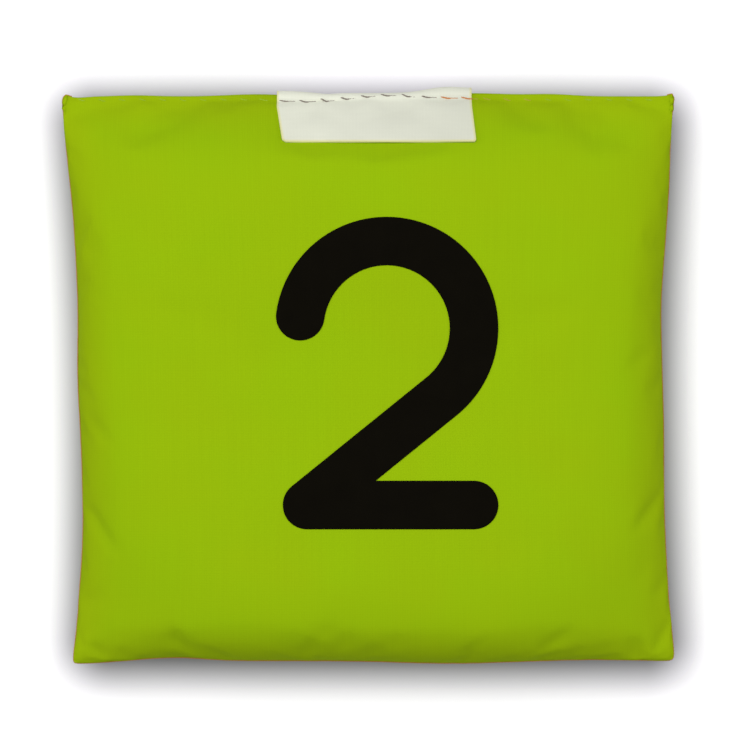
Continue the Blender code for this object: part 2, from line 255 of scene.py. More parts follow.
def linear(shade):
    """A hex colour as it is seen, in the linear numbers that a shader works with."""
    channels = [int(shade[start:start + 2], 16) / 255 for start in (0, 2, 4)]
    return [c / 12.92 if c <= 0.04045 else ((c + 0.055) / 1.055) ** 2.4 for c in channels]


# Settings that a user would change


def length(name, description, default):
    return bpy.props.FloatProperty(
        name=name, description=description, default=default, min=0.0, precision=5, unit="LENGTH")


def share(name, description, default):
    return bpy.props.FloatProperty(
        name=name, description=description, default=default, min=0.0, max=1.0, subtype="FACTOR")


def amount(name, description, default):
    return bpy.props.FloatProperty(name=name, description=description, default=default, min=0.0)


def colour(name, description, default):
    return bpy.props.FloatVectorProperty(
        name=name, description=description, default=linear(default), min=0.0, max=1.0, subtype="COLOR")


class BagSizes(bpy.types.PropertyGroup):
    cloth: length("Cloth", "Thickness of the cloth", 0.0004)
    yarn: length("Yarn", "Spacing of the cloth's yarns", 0.0005)
    fold: length("Fold", "Height of the fold in which a panel turns in at a seam", 0.0007)
    allowance: length("Allowance", "Width of the cloth turned in at a seam", 0.0060)
    extra_cloth: share("Extra cloth", "How much longer the cloth is than the shape it is sewn to", 0.010)
    pressed_width: length("Pressed width", "How far in from an edge the fill presses the cloth out", 0.020)
    pressure: amount("Pressure", "Of the fill, in the model's units", 3.0)
    swell_limit: length("Swell limit", "Furthest that the fill presses any point of the cloth", 0.0010)
    lump: length("Lump", "Height of the soft lumps that the pellets press into the cloth", 0.00025)
    lump_size: length("Lump size", "Distance from lump to lump", 0.014)
    film: length("Film", "Thickness of the printed film", 0.00015)
    ribbon: length("Ribbon", "Thickness of the label's ribbon", 0.00028)
    thread: length("Thread", "Diameter of the sewing thread", 0.0003)
    closing_stitch: length("Closing stitch", "Length of a stitch of the closing row", 0.0040)
    seam_stitch: length("Seam stitch", "Length of a stitch of the seam", 0.0032)
    pellet: length("Pellet", "Width of a pellet of the fill", 0.0038)


class BagColours(bpy.types.PropertyGroup):
    cloth: colour("Cloth", "Dye of the cotton", "92BC0B")
    cloth_shade: colour("Cloth shade", "Dye where it took less evenly", "98B60B")
    # painted shade: near the seams the cloth is tinted yellower and a little darker, as its shaded edges look
    seam_shade_tint: colour("Cloth edge", "Painted tint of the shade at the seams, yellower", "99B60B")
    film: colour("Film", "Printed numeral", "0A0804")
    ribbon: colour("Ribbon", "Label", "E8EAD9")
    # yellow at the ribbon's edges: partly its firmer selvedge, partly a painted reflection of the green cloth
    selvedge_and_reflection: colour("Selvedge", "Woven edges of the label", "E8E4A4")
    thread: colour("Thread", "Sewing thread", "C47830")
    # the closing thread is drawn darker and greyer where it crosses the label
    darker_thread: colour("Darker thread", "Where it crosses the label", "80766C")
    sunk: colour("Sunk thread", "Where it sinks into the cloth and takes on its tint", "95B40F")
    pellets: colour("Pellets", "Fill", "E4E1D6")
    paper: colour("Paper", "Floor, as it lights the bag", "C0C0C0")


class StageSizes(bpy.types.PropertyGroup):
    camera_height: length("Camera height", "Of the camera over the seams", 0.8)
    view_width: length("View width", "Width of what the camera sees at the seams", 0.14805)
    view_right: length("View right", "How far the camera stands right of the bag's middle", 0.00134)
    view_up: length("View up", "How far the camera stands towards the closed edge", 0.00038)
    lamp_height: length("Lamp height", "Of the top lamp over the floor", 1.2)
    lamp_size: length("Lamp size", "Side of the top lamp", 1.24)
    lamp_back: length("Lamp back", "How far the top lamp stands towards the closed edge", 0.36)
    lamp_left: length("Lamp left", "How far the top lamp stands to the left", 0.11)
    lamp_power: amount("Lamp power", "Of the top lamp, in watts", 11.8)
    side_distance: length("Side distance", "Of the lamps at both sides", 1.4)
    side_height: length("Side height", "Of the lamps at both sides", 0.76)
    side_size: length("Side size", "Side of the lamps at both sides", 0.8)
    side_power: amount("Side power", "Of each lamp at the sides, in watts", 4.6)
    sky: amount("Sky", "Strength of the light from all round", 0.3)


# Shape of the bag: across runs from -1 at the left edge to 1 at the right, and along from -1 at the bottom to
# 1 at the closed edge


def bend(place, bends):
    return sum(depth * math.exp(-((place - middle) / width) ** 2) for middle, depth, width in bends)


def sides_at(along):
    draw = SIDE_DRAW * (1 - abs(along) ** CORNER_BOW)
    step = LOWER_LEFT_STEP * (1 - along) / 2
    return PANEL_LOW.x + step + draw, PANEL_HIGH.x - draw


def smooth_step(way):
    way = min(1.0, max(0.0, way))
    return way * way * (3 - 2 * way)


def row_y(x):
    """The closing row of stitches, which wanders."""
    return ROW_Y + ROW_SHIFT + bend(x, ROW_BENDS)


def row_dip(x, y):
    """How far the closing row draws the cloth or the ribbon in at one place."""
    return ROW_DIP * math.exp(-((y - row_y(x)) / ROW_DIP_WIDTH) ** 2)


def outline_point(across, along, inset):
    """Where a point of the flat bag lies over the ground, with the bends, ears and corners of the edge."""
    left, right = sides_at(along)
    x = left + inset + (right - left - 2 * inset) * (across + 1) / 2
    y = MIDDLE_Y + along * (HALF_LENGTH - inset)
    side_fade = abs(across) ** BEND_FADE
    end_fade = abs(along) ** BEND_FADE
    side_bend = bend(y, LEFT_BENDS) if across < 0 else -bend(y, RIGHT_BENDS)
    end_bend = bend(x, BOTTOM_BENDS) if along < 0 else -bend(x, CLOSED_BENDS)
    ear = EAR * math.exp(-(1 - abs(across)) * HALF_WIDTH / EAR_WIDTH) if along > 0 else 0.0
    lean = EAR_LEAN * math.exp(-(1 - along) * HALF_LENGTH / EAR_WIDTH) if across < 0 else 0.0
    corner = LOWER_LEFT_CORNER if across < 0 else LOWER_RIGHT_CORNER
    corner *= abs(across * along) ** CORNER_SHARPNESS if along < 0 else 0.0
    x += (side_bend + lean) * side_fade - math.copysign(corner, across)
    y += (end_bend + ear) * end_fade + corner
    return x, y


def rise_share(share_out, squareness, power):
    return max(0.0, 1 - abs(share_out) ** squareness) ** power


def swell(across, along, squareness):
    """Height of the cloth above its border, from 0 at the seams and on the lip to 1 in the middle."""
    lip = LIP_DEPTH / (2 * HALF_LENGTH)
    dome_along = (along + lip) / (1 - lip)
    power = LIP_POWER if dome_along > 0 else SEAM_POWER
    from_corner = math.hypot((1 - abs(across)) * HALF_WIDTH, (1 - abs(along)) * HALF_LENGTH)
    lacking = CORNER_FLATNESS * math.exp(-(from_corner / CORNER_REACH) ** 2)
    sides = rise_share(across, squareness, SEAM_POWER)
    ends = rise_share(dome_along, squareness, power)
    return sides * ends * (1 - lacking)


def settled_swell(across, along):
    """As swell, for the back, which the ground flattens where it would be fullest."""
    return 1 - max(0.0, 1 - BACK_FULLNESS * swell(across, along, BACK_SQUARENESS)) ** TURN_UP_POWER


def round_share(way):
    """A quarter circle from 0 to 1."""
    return math.sqrt(1 - (1 - min(1.0, way)) ** 2)


def cloth_height(across, along, side, sizes):
    """Height of the outside of a panel over the ground."""
    border = sizes.fold + LIP_RISE * round_share((1 - along) * HALF_LENGTH / LIP_ROUND)
    if side == FRONT:
        rise = PANEL_HIGH.z - SEAM_LEVEL - sizes.fold - LIP_RISE
        return SEAM_LEVEL + border + rise * swell(across, along, FRONT_SQUARENESS)
    drop = SEAM_LEVEL - BACK_LOW.z - sizes.fold - LIP_RISE
    return SEAM_LEVEL - border - drop * settled_swell(across, along)


def even_shares(half, cells, height):
    """Shares from -1 to 1 that stand evenly along the cloth of a section, and the distance between two."""
    fine = [math.sin(math.pi * (step / PROFILE_STEPS - 0.5)) for step in range(PROFILE_STEPS + 1)]
    lengths = [0.0]
    for start, end in zip(fine, fine[1:]):
        lengths.append(lengths[-1] + math.hypot((end - start) * half, height(end) - height(start)))
    cell = lengths[-1] / cells
    shares = [-1.0]
    step = 0
    for number in range(1, cells):
        while lengths[step] < number * cell:
            step += 1
        shares.append(fine[step])
    shares.append(1.0)
    return shares, cell


# Small tools for meshes


def new_object(name, data):
    thing = bpy.data.objects.new(name, data)
    bpy.context.scene.collection.objects.link(thing)
    return thing


def mesh_from(name, bm):
    """A smooth mesh made of a bmesh, which is used up."""
    mesh = bpy.data.meshes.new(name)
    bm.to_mesh(mesh)
    bm.free()
    mesh.shade_smooth()
    return mesh


def finished_mesh(piece):
    """The mesh of a piece with its modifiers applied."""
    bpy.context.view_layer.update()
    shown = piece.evaluated_get(bpy.context.evaluated_depsgraph_get())
    return bpy.data.meshes.new_from_object(shown)


def apply_modifiers(piece):
    mesh = finished_mesh(piece)
    piece.modifiers.clear()
    piece.data = mesh


def add_wall(piece, thickness):
    """Gives the outside of a piece of cloth its thickness, inwards."""
    wall = piece.modifiers.new("wall", "SOLIDIFY")
    wall.thickness = thickness
    wall.offset = -1


def dress(piece, finish, node):
    """Gives a piece its material, hangs it on the bag's body and hides the frame's part that it stands for.
    """
    piece.data.materials.append(finish)
    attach(piece, "bag")
    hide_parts(node)


def only(parts, kind):
    """Those of some parts of a mesh that are of one kind."""
    return [part for part in parts if isinstance(part, kind)]


def add_grid(bm, columns, rows):
    """Adds a grid of cells. Returns its points, each with the numbers of its column and its row."""
    grid = bmesh.ops.create_grid(bm, x_segments=columns, y_segments=rows, size=1)["verts"]
    numbers = [(round((vert.co.x + 1) / 2 * columns), round((vert.co.y + 1) / 2 * rows)) for vert in grid]
    return [(vert, column, row) for vert, (column, row) in zip(grid, numbers)]


def write_flat(bm, flat_x, flat_y):
    """Writes each point's place on the flat cloth, which two layers hold, into a UV map."""
    uv = bm.loops.layers.uv.new("flat")
    for face in bm.faces:
        for loop in face.loops:
            loop[uv].uv = (loop.vert[flat_x], loop.vert[flat_y])


def surface_of(name):
    """What rays can be cast at, of a piece as it is shown."""
    mesh = finished_mesh(bpy.data.objects[name])
    bm = bmesh.new()
    bm.from_mesh(mesh)
    tree = BVHTree.FromBMesh(bm)
    bm.free()
    bpy.data.meshes.remove(mesh)
    return tree


def height_on(surfaces, x, y, side):
    """Height of the outermost of some surfaces over one point of the ground, on one side of the bag."""
    hits = [surface.ray_cast(Vector((x, y, side)), Vector((0, 0, -side)))[0] for surface in surfaces]
    return side * max(side * hit.z for hit in hits if hit)


# Materials


def add_node(tree, kind, inputs, output=0, **settings):
    """Adds a node and returns one of its outputs. Each input gets a value or another node's output."""
    node = tree.nodes.new("ShaderNode" + kind)
    for name, value in settings.items():
        setattr(node, name, value)
    for name, value in inputs.items():
        if isinstance(value, bpy.types.NodeSocket):
            tree.links.new(value, node.inputs[name])
        else:
            node.inputs[name].default_value = value
    return node.outputs[output]


def new_material(name, settings):
    """A material with a Principled shader whose plain values are set on its own sockets."""
    material = bpy.data.materials.new(name)
    material.use_nodes = True
    shader = material.node_tree.nodes["Principled BSDF"]
    for socket, value in settings.items():
        shader.inputs[socket].default_value = value
    return material, material.node_tree


def paint(tree, base, layers, shades):
    """Gives the shader its colour: a base, with others laid over it as far as their patterns say. Further
    patterns make all of it darker or lighter between two shades, each over the span of it that counts."""
    shown = base
    for pattern, laid in layers:
        shown = add_node(tree, "Mix", {0: pattern, 4: shown, 5: laid}, 1, data_type="VECTOR")
    for pattern, span, ends in shades:
        limits = {"From Min": span[0], "From Max": span[1], "To Min": ends[0], "To Max": ends[1]}
        shade = add_node(tree, "MapRange", {"Value": pattern, **limits})
        shown = add_node(tree, "VectorMath", {0: shown, 3: shade}, operation="SCALE")
    tree.links.new(shown, tree.nodes["Principled BSDF"].inputs["Base Color"])


def emboss(tree, height, strength, depth):
    """Gives the shader the bumps of one pattern."""
    bump = add_node(tree, "Bump", {"Height": height, "Strength": strength, "Distance": depth})
    tree.links.new(bump, tree.nodes["Principled BSDF"].inputs["Normal"])


def add_weave(tree, place, pitch):
    """Height of a plain weave: yarns of one pitch that pass over and under each other by turns."""
    scaled = add_node(tree, "Mapping", {"Vector": place, "Scale": [math.pi / pitch] * 3})
    ways = [add_node(tree, "SeparateXYZ", {"Vector": scaled}, axis) for axis in "XY"]
    warp, weft = (add_node(tree, "Math", {0: way}, operation="SINE") for way in ways)
    widths = [add_node(tree, "Math", {0: wave}, operation="ABSOLUTE") for wave in (warp, weft)]
    crossing = add_node(tree, "Math", {0: warp, 1: weft}, operation="MULTIPLY")
    warp_top = add_node(tree, "Math", {0: widths[0], 1: crossing}, operation="ADD")
    weft_top = add_node(tree, "Math", {0: widths[1], 1: crossing}, operation="SUBTRACT")
    top = add_node(tree, "Math", {0: warp_top, 1: weft_top}, operation="MAXIMUM")
    return add_node(tree, "Math", {0: top, 1: 0.5}, operation="MULTIPLY")


def add_noise(tree, place, across, along, detail):
    """Noise whose patches are this long across and along, in metres."""
    scaled = add_node(tree, "Mapping", {"Vector": place, "Scale": (1 / across, 1 / along, 1 / along)})
    return add_node(tree, "TexNoise", {"Vector": scaled, "Scale": 1.0, "Detail": detail})


def edge_share(tree, width):
    """1 at the edges of a cloth or ribbon, and 0 from a width in."""
    distance = add_node(tree, "Attribute", {}, "Fac", attribute_name="edge_distance")
    limits = {"From Max": width, "To Min": 1.0, "To Max": 0.0}
    return add_node(tree, "MapRange", {"Value": distance, **limits}, interpolation_type="SMOOTHSTEP")


def cotton_canvas(sizes, colours):
    """Plain-woven dyed cotton: dull, a little fuzzy, with uneven yarns and a slightly uneven dye."""
    material, tree = new_material("dyed_cotton_canvas", {
        "Roughness": 0.9,
        "Specular IOR Level": 0.02,
        "Sheen Weight": 0.05,
        "Sheen Roughness": 0.5,
        "Sheen Tint": (*colours.cloth, 1.0),
    })
    flat = add_node(tree, "UVMap", {}, uv_map="flat")
    weave = add_weave(tree, flat, sizes.yarn)
    slubs = add_noise(tree, flat, across=sizes.yarn, along=SLUB_YARNS * sizes.yarn, detail=1)
    mottle = add_noise(tree, flat, across=0.022, along=0.018, detail=2)
    # Towards the seams the cloth is painted yellower and a little darker: a painted tint of the shade there.
    layers = ((mottle, colours.cloth_shade), (edge_share(tree, SHADE_TINT_WIDTH), colours.seam_shade_tint))
    # The weave's hollows are painted a little darker: painted shade between the yarns.
    shades = ((weave, WHOLE, (0.97, 1.015)), (slubs, (0.3, 0.7), (0.99, 1.01)))
    paint(tree, colours.cloth, layers, shades)
    emboss(tree, weave, strength=0.25, depth=YARN_RELIEF * sizes.yarn)
    return material


def printed_film(sizes, colours):
    """Heat-pressed print film: matt black, with the yarns of the cloth just showing through."""
    material, tree = new_material("pressed_print_film", {"Roughness": 0.75, "Specular IOR Level": 0.02})
    place = add_node(tree, "TexCoord", {}, "Object")
    grain = add_noise(tree, place, across=0.004, along=0.004, detail=3)
    paint(tree, colours.film, (), ((grain, WHOLE, (0.8, 1.3)),))
    emboss(tree, add_weave(tree, place, sizes.yarn), strength=0.3, depth=YARN_RELIEF * sizes.yarn)
    return material


def woven_ribbon(colours):
    """Woven polyester ribbon: off-white, with a soft sheen, fine cross ribs and firmer edges painted
    yellower.
    """
    material, tree = new_material("woven_polyester_ribbon", {
        "Roughness": 0.6,
        "Specular IOR Level": 0.3,
        "Sheen Weight": 0.1,
        "Sheen Roughness": 0.4,
    })
    flat = add_node(tree, "UVMap", {}, uv_map="flat")
    weave = add_weave(tree, flat, RIBBON_YARN)
    mottle = add_noise(tree, flat, across=0.006, along=0.003, detail=2)
    way = add_node(tree, "SeparateXYZ", {"Vector": flat}, "X")
    # The ribbon's edges are painted yellower: partly their firmer selvedge, partly a painted reflection of
    # the green cloth.
    paint(tree, colours.ribbon, ((edge_share(tree, SELVEDGE), colours.selvedge_and_reflection),), (
        # The weave's hollows are painted a little darker: painted shade between the yarns.
        (weave, WHOLE, (0.92, 1.02)),
        (mottle, WHOLE, (0.96, 1.03)),
        # the ribbon grows darker towards its right side
        (way, (RIBBON_LOW.x, RIBBON_HIGH.x), (1.0, RIGHT_SIDE_DARKENING)),
    ))
    emboss(tree, weave, strength=0.4, depth=YARN_RELIEF * RIBBON_YARN)
    return material


def spun_thread(colours):
    """Spun polyester sewing thread: two plies with a little gloss and short loose fibres."""
    material, tree = new_material("spun_polyester_thread", {
        "Roughness": 0.55,
        "Specular IOR Level": 0.25,
        "Sheen Weight": 0.2,
        "Sheen Roughness": 0.4,
    })
    place = add_node(tree, "TexCoord", {}, "Object")
    fibres = add_noise(tree, place, across=0.00015, along=0.00015, detail=2)
    darkened, sunk = (add_node(tree, "Attribute", {}, "Fac", attribute_name=name) for name in ("darkened", "sunk"))
    layers = ((darkened, colours.darker_thread), (sunk, colours.sunk))
    paint(tree, colours.thread, layers, ((fibres, WHOLE, (0.8, 1.15)),))
    emboss(tree, fibres, strength=0.4, depth=0.00003)
    return material


def moulded_pellets(colours):
    """Polyethylene granulate: milky white, waxy, no two pellets of quite the same white."""
    material, tree = new_material("polyethylene_granulate", {
        "Roughness": 0.4,
        "IOR": 1.51,
        "Subsurface Weight": 0.2,
        "Subsurface Radius": (0.002, 0.002, 0.002),
        "Subsurface Scale": 0.5,
    })
    place = add_node(tree, "TexCoord", {}, "Object")
    patches = add_noise(tree, place, across=0.006, along=0.006, detail=1)
    paint(tree, colours.pellets, (), ((patches, WHOLE, (0.85, 1.05)),))
    return material


# Cloth panels


class Bag:
    """A mesh of both panels, whose points remember their panel, their shares and their flat place."""

    def __init__(self, sizes):
        self.sizes = sizes
        self.bm = bmesh.new()
        self.side = self.bm.verts.layers.int.new("side")
        self.across, self.along, self.flat_x, self.flat_y = (
            self.bm.verts.layers.float.new(name) for name in ("across", "along", "flat_x", "flat_y"))

    def add_panel(self, side):
        """A grid of cells that are as long and as wide along the cloth. Returns its border's edges."""
        def height(across, along):
            return cloth_height(across, along, side, self.sizes)

        columns, column_cell = even_shares(HALF_WIDTH, COLUMNS, lambda across: height(across, 0.0))
        rows, row_cell = even_shares(HALF_LENGTH, ROWS, lambda along: height(0.0, along))
        grid = add_grid(self.bm, COLUMNS, ROWS)
        for vert, column, row in grid:
            across, along = columns[column], rows[row]
            vert[self.side] = side
            vert[self.across] = across
            vert[self.along] = along
            vert[self.flat_x] = column * column_cell
            vert[self.flat_y] = row * row_cell
            vert.co = (*outline_point(across, along, 0.0), height(across, along))
        edges = {edge for vert, column, row in grid for edge in vert.link_edges}
        return [edge for edge in edges if edge.is_boundary]

    def pressed_share(self, vert):
        """How hard the fill presses a point: fully at the seams, and less towards the closed edge."""
        across, along = vert[self.across], vert[self.along]
        from_seam = min((1 - abs(across)) * HALF_WIDTH, (1 + along) * HALF_LENGTH)
        calm = smooth_step((1 - along) * HALF_LENGTH / CALM_WIDTH)
        return max(0.0, 1 - from_seam / self.sizes.pressed_width) * calm

    def press_out(self, pinned):
        """Lets the fill press the cloth out near its pinned borders, and moves the points there."""
        bm = self.bm
        mesh = bpy.data.meshes.new("pressed_bag")
        bmesh.ops.scale(bm, vec=[MODEL_SCALE] * 3, verts=bm.verts)
        bm.to_mesh(mesh)
        model = new_object("pressed_bag", mesh)
        model.vertex_groups.new(name="borders").add(pinned, 1.0, "REPLACE")
        pressed_edges = model.vertex_groups.new(name="pressed_edges")
        for vert in bm.verts:
            pressed_edges.add([vert.index], self.pressed_share(vert), "REPLACE")
        cloth = model.modifiers.new("cloth", "CLOTH")
        cloth.point_cache.frame_end = MODEL_FRAMES
        for name, value in MODEL_CLOTH.items():
            setattr(cloth.settings, name, value)
        cloth.settings.shrink_min = -self.sizes.extra_cloth
        cloth.settings.uniform_pressure_force = self.sizes.pressure
        cloth.settings.effector_weights.gravity = 0
        scene = bpy.context.scene
        for number in range(1, MODEL_FRAMES + 1):
            scene.frame_set(number)
        pressed = finished_mesh(model)
        bmesh.ops.scale(bm, vec=[1 / MODEL_SCALE] * 3, verts=bm.verts)
        for vert, moved in zip(bm.verts, pressed.vertices):
            step = moved.co / MODEL_SCALE - vert.co
            if step.length > self.sizes.swell_limit:
                step *= self.sizes.swell_limit / step.length
            vert.co += step
            vert.co.z = max(vert.co.z, BACK_LOW.z)
        scene.frame_set(1)
        bpy.data.objects.remove(model)


def panel_mesh(bag, side, name):
    """One panel cut from the pressed bag, with its edges folded and turned in at the seam."""
    sizes = bag.sizes
    bm = bag.bm.copy()
    which = bm.verts.layers.int["side"]
    across_layer, along_layer, flat_x, flat_y = (
        bm.verts.layers.float[name] for name in ("across", "along", "flat_x", "flat_y"))
    others = [face for face in bm.faces if any(vert[which] != side for vert in face.verts)]
    bmesh.ops.delete(bm, geom=others, context="FACES")
    ring = [edge for edge in bm.edges if edge.is_boundary]
    for inset, level in (*FOLD_TURNS, (sizes.allowance, TURNED_LEVEL)):
        made = bmesh.ops.extrude_edge_only(bm, edges=ring)["geom"]
        ring = only(made, bmesh.types.BMEdge)
        for vert in only(made, bmesh.types.BMVert):
            across, along = vert[across_layer], vert[along_layer]
            vert.co = (*outline_point(across, along, inset), SEAM_LEVEL + side * level)
            outward = inset + sizes.fold
            if abs(across) == 1:
                vert[flat_x] += math.copysign(outward, across)
            if abs(along) == 1:
                vert[flat_y] += math.copysign(outward, along)
    bmesh.ops.recalc_face_normals(bm, faces=bm.faces)
    write_flat(bm, flat_x, flat_y)
    return mesh_from(name, bm)


def add_relief(mesh, sizes):
    """The soft lumps of the fill, which fade towards the seams, and the furrow that the closing row draws."""
    normals = [vert.normal.copy() for vert in mesh.vertices]
    distances = mesh.attributes.new("edge_distance", "FLOAT", "POINT")
    for vert, normal in zip(mesh.vertices, normals):
        x, y, z = vert.co
        left, right = sides_at(max(-1.0, min(1.0, (y - MIDDLE_Y) / HALF_LENGTH)))
        inside = min(x - left, right - x, MIDDLE_Y + HALF_LENGTH - y, y - MIDDLE_Y + HALF_LENGTH)
        fade = smooth_step(inside / sizes.lump_size)
        lump = noise.noise(vert.co / sizes.lump_size) * sizes.lump * fade
        furrow = row_dip(x, y) if abs(z - SEAM_LEVEL) > sizes.fold else 0.0
        vert.co += normal * (lump - furrow)
        vert.co.z = max(vert.co.z, BACK_LOW.z)
        distances.data[vert.index].value = max(0.0, inside)


class BEANBAG_OT_cloth(bpy.types.Operator):
    """Sews the two cloth panels and lets the fill press them out"""

    bl_idname = "bean_bag.cloth"
    bl_label = "Cloth panels"

    def execute(self, context):
        sizes = context.scene.bag_sizes
        canvas = cotton_canvas(sizes, context.scene.bag_colours)
        bag = Bag(sizes)
        borders = bag.add_panel(FRONT) + bag.add_panel(BACK)
        bmesh.ops.bridge_loops(bag.bm, edges=borders)
        bmesh.ops.recalc_face_normals(bag.bm, faces=bag.bm.faces)
        bag.bm.verts.index_update()
        bag.press_out(sorted({vert.index for edge in borders for vert in edge.verts}))
        for name, side, node in (("front_cloth", FRONT, "front_panel"), ("back_cloth", BACK, "back_panel")):
            panel = new_object(name, panel_mesh(bag, side, name))
            smooth = panel.modifiers.new("smooth", "SUBSURF")
            smooth.levels = smooth.render_levels = 1
            apply_modifiers(panel)
            add_relief(panel.data, sizes)
            add_wall(panel, sizes.cloth)
            dress(panel, canvas, node)
        bag.bm.free()
        return {"FINISHED"}


# Printed numeral


def arc(centre, radius, start, end, steps):
    """Points along an arc, both ends included."""
    angles = [start + (end - start) * step / steps for step in range(steps + 1)]
    return [(centre[0] + radius * math.cos(angle), centre[1] + radius * math.sin(angle)) for angle in angles]


def numeral_outline():
    """A plain figure two of one stroke with round ends, in the frame's box: an arch, a run and a foot."""
    half = NUMERAL_STROKE / 2
    middle_x = (PRINT_LOW.x + PRINT_HIGH.x) / 2
    radius = (PRINT_HIGH.x - PRINT_LOW.x) / 2 - half
    arch = (middle_x, PRINT_HIGH.y - half - radius)
    foot_y = PRINT_LOW.y + half
    heel = (middle_x - radius + NUMERAL_FOOT_STEP, foot_y)
    toe = (middle_x + radius, foot_y)
    reach = math.dist(arch, heel)
    arch_end = math.atan2(heel[1] - arch[1], heel[0] - arch[0]) + math.acos(radius / reach)
    foot_angle = arch_end + math.pi / 2
    notch = half / math.tan(foot_angle / 2)
    start = (arch[0] + radius * math.cos(NUMERAL_START), arch[1] + radius * math.sin(NUMERAL_START))

    outline = arc(arch, radius + half, NUMERAL_START, arch_end, OUTER_STEPS)
    outline.append((heel[0] + notch, heel[1] + half))
    outline += arc(toe, half, math.pi / 2, -math.pi / 2, END_STEPS)
    outline += arc(heel, half, -math.pi / 2, foot_angle - 3 * math.pi / 2, HEEL_STEPS)
    outline += arc(arch, radius - half, arch_end, NUMERAL_START, INNER_STEPS)
    outline += arc(start, half, NUMERAL_START + math.pi, NUMERAL_START, END_STEPS)[1:-1]
    return outline


def cut_evenly(bm, low, high, spacing, axis):
    """Cuts a flat piece by planes across one axis, so that it can follow the cloth."""
    steps = math.ceil((high - low) / spacing)
    for step in range(1, steps):
        plane = [0, 0, 0]
        normal = [0, 0, 0]
        plane[axis] = low + (high - low) * step / steps
        normal[axis] = 1
        whole = bm.verts[:] + bm.edges[:] + bm.faces[:]
        bmesh.ops.bisect_plane(bm, geom=whole, plane_co=plane, plane_no=normal)


class BEANBAG_OT_numeral(bpy.types.Operator):
    """Presses the printed numeral onto the front cloth"""

    bl_idname = "bean_bag.numeral"
    bl_label = "Printed numeral"

    def execute(self, context):
        sizes = context.scene.bag_sizes
        cloth = [surface_of("front_cloth")]
        bm = bmesh.new()
        bm.faces.new([bm.verts.new((x, y, 0)) for x, y in numeral_outline()])
        for axis in (0, 1):
            cut_evenly(bm, PRINT_LOW[axis], PRINT_HIGH[axis], NUMERAL_CELL, axis)
        for vert in bm.verts:
            vert.co.z = height_on(cloth, vert.co.x, vert.co.y, FRONT) + PRINT_CLEARANCE
        raised = bmesh.ops.extrude_face_region(bm, geom=bm.faces[:])["geom"]
        bmesh.ops.translate(bm, verts=only(raised, bmesh.types.BMVert), vec=(0, 0, sizes.film))
        top = set(only(raised, bmesh.types.BMFace))
        rim = [edge for face in top for edge in face.edges if not top.issuperset(edge.link_faces)]
        bmesh.ops.recalc_face_normals(bm, faces=bm.faces)
        bmesh.ops.bevel(
            bm, geom=rim, offset=sizes.film / 2, affect="EDGES", segments=2, profile=0.5, material=-1)
        numeral = new_object("printed_numeral", mesh_from("printed_numeral", bm))
        numeral.data.set_sharp_from_angle(angle=SHARP)
        dress(numeral, printed_film(sizes, context.scene.bag_colours), "numeral_print")
        return {"FINISHED"}


# Label


def closed_edge(x):
    return MIDDLE_Y + HALF_LENGTH - bend(x, CLOSED_BENDS)


def label_sides(y):
    """Left and right side of a flap, with its lean and its round corners."""
    end = y - LABEL_END_Y
    lean = max(0.0, LEAN_START - y) / (LEAN_START - LABEL_END_Y)
    left_corner, right_corner = (
        radius - math.sqrt(radius ** 2 - max(0.0, radius - end) ** 2)
        for radius in (LEFT_LABEL_CORNER, RIGHT_LABEL_CORNER))
    right = RIBBON_HIGH.x - LABEL_NARROWING
    return RIBBON_LOW.x + LEFT_LEAN * lean + left_corner, right + RIGHT_LEAN * lean - right_corner


def label_rows():
    """Rows of the ribbon from its fold to a flap's end: turns round the fold, then places on the cloth."""
    turns = [(math.pi / 2 * step / FOLD_STEPS, None) for step in range(FOLD_STEPS + 1)]
    first = MIDDLE_Y + HALF_LENGTH - FOLD_DEPTH
    count = math.ceil((first - LABEL_END_Y) / LABEL_CELL)
    return turns + [(None, first + (LABEL_END_Y - first) * step / count) for step in range(1, count + 1)]


def fold_point(x, turn, cloth, side, sizes):
    """A point of the ribbon where it turns round the closed edge."""
    stand = RIBBON_CLEARANCE + sizes.ribbon
    lip_y = closed_edge(x) - FOLD_DEPTH
    lip = abs(height_on(cloth, x, lip_y, side) + side * (stand + LABEL_PUFF) - SEAM_LEVEL)
    reach = FOLD_DEPTH + stand + LABEL_PUFF + bend(x, LABEL_EDGE_BENDS)
    return x, lip_y + reach * math.cos(turn), SEAM_LEVEL + side * lip * math.sin(turn)


def flap_point(x, y, cloth, side, sizes):
    """A point of the ribbon where it lies on the cloth."""
    edge = closed_edge(x)
    y -= bend(x, CLOSED_BENDS) * smooth_step((y - ROW_Y) / (edge - ROW_Y))
    above = smooth_step((y - ROW_Y) / (edge - ROW_Y))
    below = smooth_step((ROW_Y - y) / (ROW_Y - LABEL_END_Y))
    ripple = noise.noise(Vector((x / LABEL_WAVE, y / LABEL_WAVE, side)))
    lift = LABEL_PUFF * above + FLAP_LIFT * below * (FLAP_LIFT_SHARE + ripple)
    stand = RIBBON_CLEARANCE + sizes.ribbon + lift - row_dip(x, y)
    return x, y, height_on(cloth, x, y, side) + side * stand


